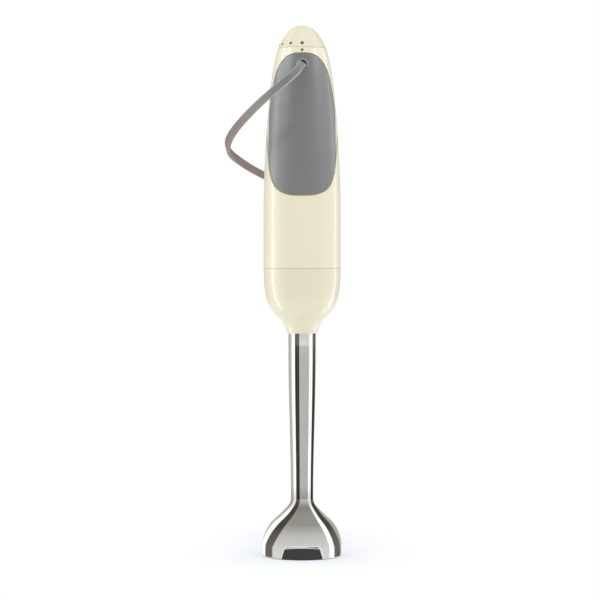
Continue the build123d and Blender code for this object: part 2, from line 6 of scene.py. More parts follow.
import bpy
import numpy as np
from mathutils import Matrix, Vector


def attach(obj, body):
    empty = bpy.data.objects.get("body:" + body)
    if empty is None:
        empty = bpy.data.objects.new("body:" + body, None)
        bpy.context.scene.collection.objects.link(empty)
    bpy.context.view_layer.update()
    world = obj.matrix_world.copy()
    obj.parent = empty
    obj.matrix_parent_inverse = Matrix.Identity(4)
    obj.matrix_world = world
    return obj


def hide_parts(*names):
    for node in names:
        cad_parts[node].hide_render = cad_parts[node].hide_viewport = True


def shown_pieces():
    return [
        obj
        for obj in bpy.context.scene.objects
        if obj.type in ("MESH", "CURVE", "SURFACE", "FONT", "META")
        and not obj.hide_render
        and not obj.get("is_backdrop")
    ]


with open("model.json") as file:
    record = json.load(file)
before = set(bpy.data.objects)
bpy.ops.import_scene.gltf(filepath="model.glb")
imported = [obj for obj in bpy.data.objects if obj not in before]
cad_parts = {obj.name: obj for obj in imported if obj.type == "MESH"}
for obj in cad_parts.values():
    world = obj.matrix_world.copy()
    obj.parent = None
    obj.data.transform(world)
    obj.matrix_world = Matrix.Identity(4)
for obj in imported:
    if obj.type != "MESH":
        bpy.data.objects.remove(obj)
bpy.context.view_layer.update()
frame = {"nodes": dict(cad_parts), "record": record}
MM = 0.001

# ------------------------------------------------------------------ curves and meshes


def spline(points, start=None, end=None, steps=12):
    """Points along a smooth curve through (radius, height) points, clamped where a tangent is given."""
    p = np.array(points, float)
    h = np.linalg.norm(np.diff(p, axis=0), axis=1)
    n = len(p)
    a, b = np.zeros((n, n)), np.zeros((n, 2))
    for i in range(1, n - 1):
        a[i, i - 1], a[i, i], a[i, i + 1] = 1 / h[i - 1], 2 / h[i - 1] + 2 / h[i], 1 / h[i]
        b[i] = 3 * ((p[i] - p[i - 1]) / h[i - 1] ** 2 + (p[i + 1] - p[i]) / h[i] ** 2)
    for row, near, tangent, gap in ((0, 1, start, p[1] - p[0]), (n - 1, n - 2, end, p[-1] - p[-2])):
        a[row, row] = 1
        if tangent is None:
            a[row, near] = 0.5
            b[row] = 1.5 * gap / np.linalg.norm(gap)
        else:
            b[row] = np.array(tangent) / np.linalg.norm(tangent)
    m = np.linalg.solve(a, b)
    out = [p[0]]
    for i in range(n - 1):
        for k in range(1, steps + 1):
            t = k / steps
            out.append((2 * t**3 - 3 * t**2 + 1) * p[i] + (t**3 - 2 * t**2 + t) * h[i] * m[i]
                       + (3 * t**2 - 2 * t**3) * p[i + 1] + (t**3 - t**2) * h[i] * m[i + 1])
    return [tuple(q) for q in out]


def rounded(points, radius, steps=5):
    """A closed outline with each corner turned more than 20 degrees replaced by a small arc."""
    p = [Vector(q) for q in points]
    out = []
    for i, corner in enumerate(p):
        into, away = corner - p[i - 1], p[(i + 1) % len(p)] - corner
        turn = into.angle(away)
        if math.degrees(turn) < 20:
            out.append(tuple(corner))
            continue
        cut = min(radius * math.tan(turn / 2), 0.45 * into.length, 0.45 * away.length)
        first, last = corner - into.normalized() * cut, corner + away.normalized() * cut
        for k in range(steps + 1):
            t = k / steps
            out.append(tuple((1 - t) ** 2 * first + 2 * t * (1 - t) * corner + t * t * last))
    return out


def mesh_object(name, verts, faces, material, body):
    """A smooth-shaded piece, given in millimetres, that rides on a CAD body."""
    mesh = bpy.data.meshes.new(name)
    mesh.from_pydata((np.array(verts, float) * MM).tolist(), [], faces)
    mesh.update()
    mesh.shade_smooth()
    obj = bpy.data.objects.new(name, mesh)
    bpy.context.scene.collection.objects.link(obj)
    mesh.materials.append(material)
    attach(obj, body)
    return obj


def paint(obj, values):
    """Stores one value for each vertex, which a material reads as painted light on an edge: a painted
    highlight above 0 and painted shade below 0.
    """
    attribute = obj.data.attributes.new("painted_edge_light", "FLOAT", "POINT")
    attribute.data.foreach_set("value", values)


def grid_faces(rows, columns, along=False):
    """Quads between closed rows of points. Along joins the last row to the first."""
    faces = []
    for r in range(rows if along else rows - 1):
        low, high = r * columns, (r + 1) % rows * columns
        for c in range(columns):
            d = (c + 1) % columns
            faces.append((low + c, low + d, high + d, high + c))
    return faces


def lathe(name, outline, material, body, around=240):
    """Revolves a closed outline of (radius, height) points about Z."""
    verts = []
    for r, z in outline:
        for k in range(around):
            angle = 2 * math.pi * k / around
            verts.append((r * math.cos(angle), r * math.sin(angle), z))
    return mesh_object(name, verts, grid_faces(len(outline), around, along=True), material, body)


def tube(sections):
    """Verts and faces of a closed skin over cross-sections, with a fan of faces on each end."""
    verts = [v for s in sections for v in s]
    n = len(sections[0])
    faces = grid_faces(len(sections), n)
    for row, flip in ((0, True), (len(sections) - 1, False)):
        centre = np.mean(np.array(sections[row], float), axis=0)
        verts.append(tuple(centre))
        for c in range(n):
            pair = (row * n + c, row * n + (c + 1) % n)
            faces.append((pair[1], pair[0], len(verts) - 1) if flip else (*pair, len(verts) - 1))
    return verts, faces


# ------------------------------------------------------------------ materials
def linear(r, g, b):
    """A linear colour from 0 to 255 display values."""
    shares = [v / 255 for v in (r, g, b)]
    return tuple(v / 12.92 if v <= 0.04045 else ((v + 0.055) / 1.055) ** 2.4 for v in shares) + (1,)


class Nodes:
    """Short calls for building a node tree."""

    def __init__(self, tree):
        self.tree = tree
        tree.nodes.clear()

    def add(self, kind, inputs=None, **settings):
        node = self.tree.nodes.new(kind)
        for key, value in settings.items():
            setattr(node, key, value)
        for key, value in (inputs or {}).items():
            if isinstance(value, bpy.types.NodeSocket):
                self.tree.links.new(value, node.inputs[key])
            else:
                node.inputs[key].default_value = value
        return node

    def maths(self, operation, a, b=0.0, clamp=False):
        return self.add("ShaderNodeMath", {0: a, 1: b}, operation=operation, use_clamp=clamp).outputs[0]

    def span(self, value, low, high, to_low=0.0, to_high=1.0, smooth=False):
        kind = "SMOOTHSTEP" if smooth else "LINEAR"
        inputs = {"Value": value, "From Min": low, "From Max": high, "To Min": to_low, "To Max": to_high}
        return self.add("ShaderNodeMapRange", inputs, interpolation_type=kind).outputs[0]

    def level_length(self, parts, least):
        """The length of a vector's level part, kept a little above 0."""
        squares = [self.maths("MULTIPLY", part, part) for part in (parts[0], parts[1])]
        return self.maths("SQRT", self.maths("ADD", squares[0], self.maths("ADD", squares[1], least)))

    def mix(self, factor, a, b, blend="MIX"):
        node = self.add("ShaderNodeMix", data_type="RGBA", blend_type=blend)
        for socket, value in zip((node.inputs[0], node.inputs[6], node.inputs[7]), (factor, a, b)):
            if isinstance(value, bpy.types.NodeSocket):
                self.tree.links.new(value, socket)
            else:
                socket.default_value = value
        return node.outputs[2]

    def ramp(self, factor, stops):
        node = self.add("ShaderNodeValToRGB", {0: factor})
        elements = node.color_ramp.elements
        while len(elements) > 1:
            elements.remove(elements[-1])
        for i, (place, colour) in enumerate(stops):
            element = elements[0] if i == 0 else elements.new(place)
            element.position = place
            element.color = colour
        return node.outputs[0]

    def noise(self, vector, scale, detail=4.0, roughness=0.55):
        return self.add("ShaderNodeTexNoise", {"Vector": vector, "Scale": scale, "Detail": detail,
                                               "Roughness": roughness}).outputs["Fac"]


def material(name):
    made = bpy.data.materials.new(name)
    made.use_nodes = True
    return made, Nodes(made.node_tree)


def surface(name, colour, rough, metallic=0.0, grain=900.0, bump=0.02, vary=0.06, rough_vary=0.05,
            stretch=(1, 1, 1), specular=0.5, coat=0.0, coat_rough=0.08, edge=0.0, lit_edges=False):
    """A finish with fine grain, slow changes of tone and roughness, and, with edge set, rounded shading."""
    made, n = material(name)
    place = n.add("ShaderNodeTexCoord").outputs["Object"]
    stretched = n.add("ShaderNodeMapping", {"Vector": place, "Scale": stretch}).outputs[0]
    fine = n.noise(stretched, grain)
    slow = n.noise(place, 38.0, 3.0)
    dark = tuple(c * (1 - vary) for c in colour[:3]) + (1,)
    base = n.mix(n.span(slow, 0.3, 0.7), dark, colour)
    # with lit_edges, the vertex attribute paints highlight and shade into the colour
    if lit_edges:
        base = painted_edge_tones(n, base)
    inputs = {"Height": fine, "Strength": bump, "Distance": 0.0002}
    if edge:
        inputs["Normal"] = n.add("ShaderNodeBevel", {"Radius": edge}, samples=4).outputs[0]
    normal = n.add("ShaderNodeBump", inputs).outputs[0]
    roughness = n.span(fine, 0.25, 0.75, max(0.02, rough - rough_vary), rough + rough_vary)
    shader = n.add("ShaderNodeBsdfPrincipled", {
        "Base Color": base, "Roughness": roughness, "Metallic": metallic, "Normal": normal,
        "Specular IOR Level": specular, "Coat Weight": coat, "Coat Roughness": coat_rough})
    n.add("ShaderNodeOutputMaterial", {"Surface": shader.outputs[0]})
    return made


def painted_edge_tones(n, base):
    """Paints a highlight into a base colour where the vertex attribute is above 0, and paints shade where it
    is below 0.
    """
    light = n.add("ShaderNodeAttribute", attribute_name="painted_edge_light").outputs["Fac"]
    # painted highlight towards pale grey, then painted shade towards near black
    base = n.mix(n.span(light, 0.0, 1.0, 0.0, 0.42), base, linear(238, 240, 240))
    return n.mix(n.span(light, 0.0, -1.0, 0.0, 0.75), base, linear(40, 40, 42))


# heights on the steel leg, in metres, that its shading changes at
LOW_WALL_FOOT, LOW_WALL_TOP, SHOULDER, NECK = 0.008, 0.0165, 0.0265, 0.042


def bell_normal(n, split, normal):
    """Turns the bell's shading normals about Z and leans its low wall's up, to place the mirrored bands.

    The mesh stays round. The amounts are set for the rear view: up to 36.5 degrees on the left, and
    between -14.5 and 11 degrees on the right.
    """
    facing = n.add("ShaderNodeSeparateXYZ", {0: normal}).outputs
    side = n.maths("DIVIDE", facing[0], n.level_length(facing, 1e-5))
    upper = n.span(split[2], SHOULDER, NECK, 18.5, 0.0)
    lower = n.span(split[2], LOW_WALL_FOOT, SHOULDER, 18.0, 0.0)
    left = n.maths("MULTIPLY", n.maths("ADD", upper, lower), n.span(side, 0.0, -0.36))
    level = n.span(split[2], LOW_WALL_FOOT, SHOULDER, 0.88, 0.64)
    right = n.maths("MULTIPLY", n.maths("SUBTRACT", side, level), 62.0)
    right = n.maths("MAXIMUM", n.maths("MINIMUM", right, 11.0), -14.5)
    right = n.maths("MULTIPLY", right, n.span(split[2], 0.03, NECK, 1.0, 0.0))
    right = n.maths("MULTIPLY", right, n.span(side, 0.0, 0.4))
    angle = n.maths("RADIANS", n.maths("ADD", left, right))
    turned = n.add("ShaderNodeVectorRotate", {"Vector": normal, "Angle": angle}, rotation_type="Z_AXIS")
    lean = n.add("ShaderNodeCombineXYZ", {2: n.span(split[2], 0.0095, LOW_WALL_TOP, 0.13, 0.0)}).outputs[0]
    leaned = n.add("ShaderNodeVectorMath", {0: turned.outputs[0], 1: lean}, operation="ADD").outputs[0]
    return n.add("ShaderNodeVectorMath", {0: leaned}, operation="NORMALIZE").outputs[0]


def polished_steel(name):
    """Polished steel with a fine upright grain, painted shade in a band at the neck, and a painted white
    highlight along the notches' edges.
    """
    made, n = material(name)
    place = n.add("ShaderNodeTexCoord").outputs["Object"]
    split = n.add("ShaderNodeSeparateXYZ", {0: place}).outputs
    normal = bell_normal(n, split, n.add("ShaderNodeNewGeometry").outputs["Normal"])
    stretched = n.add("ShaderNodeMapping", {"Vector": place, "Scale": (1, 1, 0.03)}).outputs[0]
    fine = n.noise(stretched, 2600.0)
    slow = n.noise(place, 45.0, 3.0)
    bumped = n.add("ShaderNodeBump", {"Height": fine, "Strength": 0.006, "Distance": 0.0001,
                                      "Normal": normal}).outputs[0]
    base = n.mix(n.span(slow, 0.3, 0.7), (0.93, 0.928, 0.915, 1), (0.96, 0.957, 0.945, 1))
    # painted shade: the mirror's colour is darkened in a band at the neck, between 31 and 53 mm up
    neck = n.maths("MULTIPLY", n.span(split[2], 0.031, 0.039), n.span(split[2], 0.053, 0.0445))
    base = n.mix(n.maths("MULTIPLY", neck, 0.33), base, (0.1, 0.095, 0.09, 1))
    # painted highlight: a white, rough, non-metal line along the notches' cut edges
    painted_edge_highlight = n.add("ShaderNodeAttribute", attribute_name="painted_edge_light").outputs["Fac"]
    base = n.mix(painted_edge_highlight, base, (0.93, 0.93, 0.92, 1))
    rough = n.span(fine, 0.3, 0.7, 0.055, 0.085)
    rough = n.maths("ADD", rough, n.maths("MULTIPLY", painted_edge_highlight, 0.6), clamp=True)
    shader = n.add("ShaderNodeBsdfPrincipled", {
        "Base Color": base, "Metallic": n.maths("SUBTRACT", 1.0, painted_edge_highlight), "Roughness": rough,
        "Normal": bumped})
    n.add("ShaderNodeOutputMaterial", {"Surface": shader.outputs[0]})
    return made


def jacket(name):
    """The lead's jacket: painted light and shade along it, grey at the gland and a warmer brown away from it,
    and painted highlights along its edges.
    """
    made, n = material(name)
    place = n.add("ShaderNodeTexCoord").outputs["Object"]
    fine = n.noise(place, 1500.0)
    slow = n.noise(place, 60.0, 3.0)
    x = n.add("ShaderNodeSeparateXYZ", {0: place}).outputs
    # painted light and shade: the jacket's tone changes along X, grey near the gland and browner away from it
    tone = n.ramp(n.span(x[0], -0.058, 0.0), [
        (0.0, linear(141, 123, 118)), (0.3, linear(153, 138, 135)), (0.42, linear(150, 145, 143)),
        (0.6, linear(140, 140, 140)), (0.8, linear(124, 126, 127)), (1.0, linear(142, 144, 145))])
    # painted light and shade: past 4 to 14 mm along Y the lead shifts to a browner tone
    behind = n.span(x[1], 0.004, 0.014)
    tone = n.mix(behind, tone, linear(146, 130, 131))
    base = n.mix(n.span(slow, 0.3, 0.7, 0.0, 0.08), tone, (0.1, 0.09, 0.09, 1))
    # painted highlights along the lead's two edges, stronger towards the gland
    light = n.add("ShaderNodeAttribute", attribute_name="painted_edge_light").outputs["Fac"]
    near = n.span(x[0], -0.045, -0.012, 0.05, 0.55)
    base = n.mix(n.maths("MULTIPLY", light, near), base, linear(226, 230, 230))
    normal = n.add("ShaderNodeBump", {"Height": fine, "Strength": 0.05, "Distance": 0.0001}).outputs[0]
    shader = n.add("ShaderNodeBsdfPrincipled", {
        "Base Color": base, "Roughness": n.span(fine, 0.3, 0.7, 0.42, 0.52), "Normal": normal,
        "Specular IOR Level": 0.35})
    n.add("ShaderNodeOutputMaterial", {"Surface": shader.outputs[0]})
    return made


CREAM = linear(232, 226, 199)
MATERIALS = {
    "steel": polished_steel("polished_steel"),
    "cream_plastic": surface("cream_gloss", CREAM, 0.42, grain=420.0, bump=0.012, vary=0.012, rough_vary=0.03,
                             coat=0.18, coat_rough=0.06, edge=0.00025),
    "grip_rubber": surface("grip_soft", linear(119, 119, 119), 0.46, grain=2600.0, bump=0.05, vary=0.02,
                           rough_vary=0.04, specular=0.75, lit_edges=True),
    "grey_plastic": surface("grey_texture", linear(128, 128, 129), 0.5, grain=2200.0, bump=0.08, edge=0.0002),
    "dark_plastic": surface("dark_moulding", linear(52, 52, 55), 0.5, grain=1500.0, bump=0.08, edge=0.0002),
    "print_ink": surface("satin_ink", linear(112, 102, 104), 0.4, grain=2600.0, bump=0.03),
    "seal_rubber": surface("seal_rubber", linear(34, 34, 36), 0.6, grain=2000.0, bump=0.08),
    "bronze": surface("sintered_bronze", linear(176, 138, 92), 0.42, 1.0, grain=2600.0, bump=0.12),
    "copper": surface("enamelled_copper", linear(190, 108, 70), 0.3, 0.9, grain=3000.0, bump=0.25,
                      stretch=(1, 1, 9)),
    "laminations": surface("stacked_sheet", linear(142, 142, 146), 0.45, 0.9, grain=900.0, bump=0.25,
                           stretch=(0.05, 0.05, 6)),
    "zinc_steel": surface("zinc_plate", linear(188, 188, 190), 0.28, 1.0, grain=1800.0, bump=0.03,
                          edge=0.0001),
    "carbon": surface("graphite", linear(38, 38, 40), 0.5, 0.3, grain=3200.0, bump=0.1),
    "board": surface("solder_mask", linear(28, 84, 52), 0.35, grain=1600.0, bump=0.05, coat=0.4),
    "aluminium": surface("extruded_aluminium", linear(200, 200, 203), 0.34, 1.0, grain=2200.0, bump=0.04,
                         stretch=(1, 1, 0.04)),
    "cord_jacket": jacket("lead_jacket"),
    "plug_plastic": surface("plug_moulding", linear(150, 138, 134), 0.5, grain=2400.0, bump=0.08),
    "pin_metal": surface("nickel_plate", linear(214, 210, 200), 0.16, 1.0, grain=2600.0, bump=0.01),
}

slot_of = {row["node"]: row["material_slot"] for row in frame["record"]["subparts"]}
for node, obj in frame["nodes"].items():
    obj.data.materials.clear()
    obj.data.materials.append(MATERIALS[slot_of[node]])

# ------------------------------------------------------------------ steel leg
BELL = [(30, 0), (29.7, 10), (28, 16.4), (22.8, 25), (17.4, 30), (12.4, 35), (9.2, 39.2), (8.4, 43.5)]
LEG_TUBE = [(8.4, 43.5), (8.9, 78.5), (9.85, 116), (10.4, 158)]
LEG_TOP = 192
STEEL = 0.9
NOTCH_HEIGHT, NOTCH_TOP, NOTCH_FOOT, NOTCH_CORNER = 9.3, 12.8, 15.4, 3
NOTCHES = (-90, 30, 150)
RIM_RADIUS = 29.8


def notch_edge(across):
    """Height of a notch's edge at a distance from its middle plane, with its top corners rounded."""
    side = (NOTCH_FOOT + 0.5 - NOTCH_TOP) / (NOTCH_HEIGHT + 1)
    slope = math.atan(1 / side)
    cut = NOTCH_CORNER * math.tan(slope / 2)
    start = NOTCH_TOP - cut
    if across <= start:
        return NOTCH_HEIGHT
    end = NOTCH_TOP + cut * math.cos(slope)
    if across < end:
        return NOTCH_HEIGHT - NOTCH_CORNER + math.sqrt(NOTCH_CORNER**2 - (across - start) ** 2)
    return NOTCH_HEIGHT - (across - NOTCH_TOP) / side


def rim_height(angle):
    """Height of the bell's lower edge at an angle about Z."""
    for facing in NOTCHES:
        off = abs((angle - facing + 180) % 360 - 180)
        if off < 40:
            return max(0.0, notch_edge(RIM_RADIUS * math.sin(math.radians(off))))
    return 0.0


bell = spline(BELL, (-0.01, 1), (0, 1), 14)
leg_outside = np.array(bell + spline(LEG_TUBE, (0, 1), (0, 1), 10)[1:] + [(LEG_TUBE[-1][0], LEG_TOP)])
leg_inside = np.array([(BELL[0][0] - STEEL, 0)] + [(r - 0.8 * STEEL, z - 0.65 * STEEL) for r, z in bell[6:-6]]
                      + [(r - STEEL, z) for r, z in leg_outside[len(bell):]])

# angles round the bell, closer together where a notch's side rises
angles = []
step = 0.0
while step < 359.99:
    angles.append(step)
    near = min(abs((step - facing + 180) % 360 - 180) for facing in NOTCHES)
    step += 0.25 if 17 < near < 33 else 1.0
ROUND = 0.45  # the rim's rounded edge


EVEN_HEIGHT = 13  # above this the rings of the wall are level


def leg_row(level, wall):
    """One ring of the wall. Levels up to 1 run from the notch edge to EVEN_HEIGHT, and others are heights."""
    out = []
    for angle in angles:
        low = rim_height(angle)
        z = low + ROUND + (EVEN_HEIGHT - low - ROUND) * level if level <= 1 else level
        r = np.interp(z, wall[:, 1], wall[:, 0])
        out.append((r * math.cos(math.radians(angle)), r * math.sin(math.radians(angle)), z))
    return out


def rim_row(share, turn):
    """One ring of the rounded rim: share 0 is the outside's edge and 1 the inside's."""
    out = []
    for angle in angles:
        low = rim_height(angle)
        outer = np.interp(low, leg_outside[:, 1], leg_outside[:, 0])
        inner = np.interp(low, leg_inside[:, 1], leg_inside[:, 0])
        edge = outer - ROUND if share < 0.5 else inner + ROUND
        r = edge + (1 if share < 0.5 else -1) * ROUND * math.cos(turn)
        z = low + ROUND * (1 - math.sin(turn))
        out.append((r * math.cos(math.radians(angle)), r * math.sin(math.radians(angle)), z))
    return out


heights = [z for r, z in leg_outside if z > EVEN_HEIGHT + 0.2]
rows = [leg_row(z, leg_outside) for z in reversed(heights)]
LEVELS = (0.0, 0.07, 0.16, 0.28, 0.4, 0.55, 0.7, 0.85, 1)
RIM_TURNS = (25, 50, 70, 90)
rows += [leg_row(level, leg_outside) for level in reversed(LEVELS)]
rows += [rim_row(0, math.radians(t)) for t in RIM_TURNS]
rows += [rim_row(1, math.radians(t)) for t in reversed(RIM_TURNS)]
rows += [leg_row(level, leg_inside) for level in LEVELS]
rows += [leg_row(z, leg_inside) for z in heights]
leg = mesh_object("steel_leg_skin", [v for row in rows for v in row],
                  grid_faces(len(rows), len(angles), along=True), MATERIALS["steel"], "blending_leg")
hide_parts("steel_leg")

# a painted highlight along the notches' cut edges: a white line, fading out from them
EDGE_ZONE_HEIGHT, EDGE_ZONE_RADIUS = 11, 28.9
EDGE_REACH, EDGE_FADE = 0.95, 0.4
edge_angles = np.arange(0, 360, 0.05)
edge_heights = np.array([rim_height(angle) for angle in edge_angles])
cut = edge_heights > 0.3
edge_angles, edge_heights = np.radians(edge_angles[cut]), edge_heights[cut]
edge = RIM_RADIUS * np.stack([np.cos(edge_angles), np.sin(edge_angles), edge_heights / RIM_RADIUS], axis=1)
shine = []
for vertex in leg.data.vertices:
    x, y, z = (c / MM for c in vertex.co)
    reach = math.hypot(x, y)
    light = 0.0
    if z < EDGE_ZONE_HEIGHT and reach > EDGE_ZONE_RADIUS:
        scale = RIM_RADIUS / reach
        gap = np.linalg.norm(edge - np.array([x * scale, y * scale, z]), axis=1).min()
        light = min(1.0, max(0.0, (EDGE_REACH - gap) / EDGE_FADE))
    shine.append(light)
paint(leg, shine)

# ------------------------------------------------------------------ collar
COLLAR = [(11.4, 168), (13.1, 173.1), (16, 177.7), (20.5, 182.2), (25.8, 191), (28.3, 201.2), (29.1, 217)]
collar_inside = spline([(26.2, 203), (23.6, 192.4), (18.5, 184.5), (13, 180.5)], steps=6)
# the collar's top carries a lip that closes the seam below the casing from inside
collar_outline = (spline(COLLAR, (0.05, 1), (0, 1), 10) + [(28.8, 217), (28.8, 217.22), (26.2, 217.22)]
                  + collar_inside + [(10.5, 180.5), (10.5, 172), (11.4, 172), (11.4, 170), (10.5, 170),
                                     (10.5, 168)])
collar = lathe("leg_collar_skin", rounded(collar_outline, 0.18), MATERIALS["cream_plastic"], "blending_leg")
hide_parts("leg_collar")

# a lip under the dial closes its seam in the same way
DIAL_LIP = [(17.95, 382.56), (17.95, 383.3), (16.4, 383.3), (16.4, 382.56)]
dial_lip = lathe("dial_lip", rounded(DIAL_LIP, 0.1),
                 MATERIALS["cream_plastic"], "speed_dial")

# ------------------------------------------------------------------ rear grip
BODY = [(29.1, 217.3), (29.2, 240), (28.6, 289), (26.5, 325), (23.6, 355.7), (20.7, 373.8), (18.4, 382.5)]
GRIP = [(0, 377.9), (9.6, 376.5), (15.5, 371.2), (19.5, 363), (22.3, 350), (24.5, 332), (25.3, 312),
        (24.8, 295)]
GRIP_FOOT = [(24.8, 295), (22.5, 283.2), (18.2, 276), (10, 272.2), (0, 271.6)]
RECESS_HEIGHT, RECESS_RADIUS, RECESS_DEPTH = 369.3, 3.5, 1.5
body_line = np.array(spline(BODY, steps=16))


def skin_y(x, z, out=0.0):
    """Where the casing's rear skin lies along Y."""
    r = np.interp(z, body_line[:, 1], body_line[:, 0]) + out
    return -math.sqrt(max(r * r - x * x, 1.0))


half = spline(GRIP, (1, 0), (-0.08, -1), 30) + spline(GRIP_FOOT, (-0.08, -1), (-1, 0), 30)[1:]
loop = half + [(-x, z) for x, z in reversed(half[1:-1])]


def inward_row(distance, out):
    """A ring a fixed distance inside the outline, towards the recess."""
    row = []
    for x, z in loop:
        reach = math.hypot(x, z - RECESS_HEIGHT)
        px, pz = x - x / reach * distance, z - (z - RECESS_HEIGHT) / reach * distance
        row.append((px, skin_y(px, pz, out), pz))
    return row


def recess_row(radius, depth):
    """A ring of the recess's wall or floor, at a depth below the grip's skin."""
    row = []
    for x, z in loop:
        reach = math.hypot(x, z - RECESS_HEIGHT)
        px, pz = x / reach * radius, RECESS_HEIGHT + (z - RECESS_HEIGHT) / reach * radius
        row.append((px, skin_y(px, pz, 0.2) + depth, pz))
    return row


PROUD = 0.2
EDGE = 0.55
LIP_WIDTH = 0.9
rows = [inward_row(0.0, -1.5), inward_row(0.0, -0.6)]
for turn in (0, 18, 36, 54, 72, 90):
    a = math.radians(turn)
    rows.append(inward_row(EDGE * (1 - math.cos(a)), PROUD - EDGE * (1 - math.sin(a))))
shoulder = inward_row(EDGE + 0.15, PROUD)
brink = recess_row(RECESS_RADIUS + LIP_WIDTH, 0.0)
rows.append(shoulder)
SKIN_STEPS = 40
for k in range(1, SKIN_STEPS):
    share = k / SKIN_STEPS
    between = [(x0 * (1 - share) + x1 * share, z0 * (1 - share) + z1 * share)
               for (x0, _, z0), (x1, _, z1) in zip(shoulder, brink)]
    rows.append([(x, skin_y(x, z, PROUD), z) for x, z in between])
lip_first = len(rows)
# the recess's lip, wall and floor: distance past its radius, depth, and painted light (a painted highlight
# above 0, painted shade below 0)
RECESS_PROFILE = [
    (LIP_WIDTH, 0.0, 0.1), (0.78, -0.05, 0.3), (0.66, -0.14, 0.6), (0.54, -0.24, 0.8), (0.42, -0.3, 0.8),
    (0.3, -0.3, 0.7), (0.18, -0.22, 0.45), (0.07, -0.06, 0.1), (0.0, 0.2, -0.4), (-0.05, 0.6, -0.6),
    (-0.1, 1.0, -0.8), (-0.2, 1.35, -0.9), (-0.45, RECESS_DEPTH, -0.9), (-0.7, RECESS_DEPTH, -0.9),
    (-1.0, RECESS_DEPTH, -0.9),
]
rows += [recess_row(RECESS_RADIUS + past, depth) for past, depth, _ in RECESS_PROFILE]
grip = mesh_object("rear_grip_skin", [v for row in rows for v in row], grid_faces(len(rows), len(loop)),
                   MATERIALS["grip_rubber"], "motor_unit")
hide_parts("rear_grip")
# the lip's painted highlight is strongest up and to the right, fading to the lower left
PAINTED_HIGHLIGHT_WAY = math.radians(70)  # the lip is lightest up and to the right, and fades to the lower left
light_rows = [0.0] * lip_first + [light for _, _, light in RECESS_PROFILE]
lip_shares = [min(1, max(0, 0.35 + 0.65 * math.cos(math.atan2(z - RECESS_HEIGHT, x) - PAINTED_HIGHLIGHT_WAY)))
              for x, z in loop]
paint(grip, [light * share if light > 0 else light for light in light_rows for share in lip_shares])

# ------------------------------------------------------------------ mains lead
LEAD_WIDTH, LEAD_THICKNESS = 5.8, 3.5
lead_points = [
    (0, -20.5, 369.3), (-0.3, -32.5, 369.2), (-3.3, -43, 362.3), (-17.2, -48, 350.7), (-32.8, -42, 337.6),
    (-47.6, -28, 323.6), (-56.2, -10, 312.7), (-56.2, 9, 305.5), (-49.1, 26, 299.8), (-36, 37, 291.8),
    (-17, 43.5, 283),
    (-5, 46, 266), (0, 47, 243), (0, 49.5, 205), (0.5, 56, 160), (0, 66, 118), (0, 79, 82), (1, 92, 52),
    (3, 102.5, 29), (6, 109.5, 13.5), (9.2, 114.5, 5.5),
]
HANK_NEAR, HANK_FAR, HANK_LEVEL = 56, 118, 2.95
HANK_TURNS, TURN_POINTS, FIRST_RADIUS, PITCH = 3, 8, 9.6, 3.6
STRAIGHT = (72, 87, 102)
for turn in range(HANK_TURNS + 1):
    far_radius = FIRST_RADIUS + PITCH * turn
    left_out = 3 if turn == HANK_TURNS else 0
    for k in range(TURN_POINTS + 1 - left_out):
        a = math.pi * k / TURN_POINTS
        lead_points.append((far_radius * math.cos(a), HANK_FAR + far_radius * math.sin(a), HANK_LEVEL))
    if turn == HANK_TURNS:
        break
    lead_points += [(-far_radius, y, HANK_LEVEL) for y in reversed(STRAIGHT)]
    near_radius = far_radius + PITCH / 2
    for k in range(TURN_POINTS + 1):
        a = math.pi + math.pi * k / TURN_POINTS
        x, y = PITCH / 2 + near_radius * math.cos(a), HANK_NEAR + near_radius * math.sin(a)
        lead_points.append((x, y, HANK_LEVEL))
    lead_points += [(far_radius + PITCH, y, HANK_LEVEL) for y in STRAIGHT]
lead_points += [(-18.5, 127.5, 4.5), (-19.6, 121, 8), (-17, 112.5, 11), (-11.5, 106, 12.4),
                (-4.5, 101.5, 13.05), (-0.5, 96, 13.1), (0, 89, 13.1)]

curve = bpy.data.curves.new("lead_route", "CURVE")
curve.dimensions = "3D"
route = curve.splines.new("NURBS")
route.points.add(len(lead_points) - 1)
for point, place in zip(route.points, lead_points):
    point.co = (*(c * MM for c in place), 1)
route.order_u = 3
route.use_endpoint_u = True
route.resolution_u = 14
route_object = bpy.data.objects.new("lead_route", curve)
bpy.context.scene.collection.objects.link(route_object)
bpy.context.view_layer.update()
route_mesh = bpy.data.meshes.new_from_object(route_object)
lead_line = np.array([v.co for v in route_mesh.vertices]) / MM
bpy.data.objects.remove(route_object)
keep = [0]
for i in range(1, len(lead_line)):
    if np.linalg.norm(lead_line[i] - lead_line[keep[-1]]) > 0.25:
        keep.append(i)
lead_line = lead_line[keep]
tangents = np.gradient(lead_line, axis=0)
tangents /= np.linalg.norm(tangents, axis=1)[:, None]

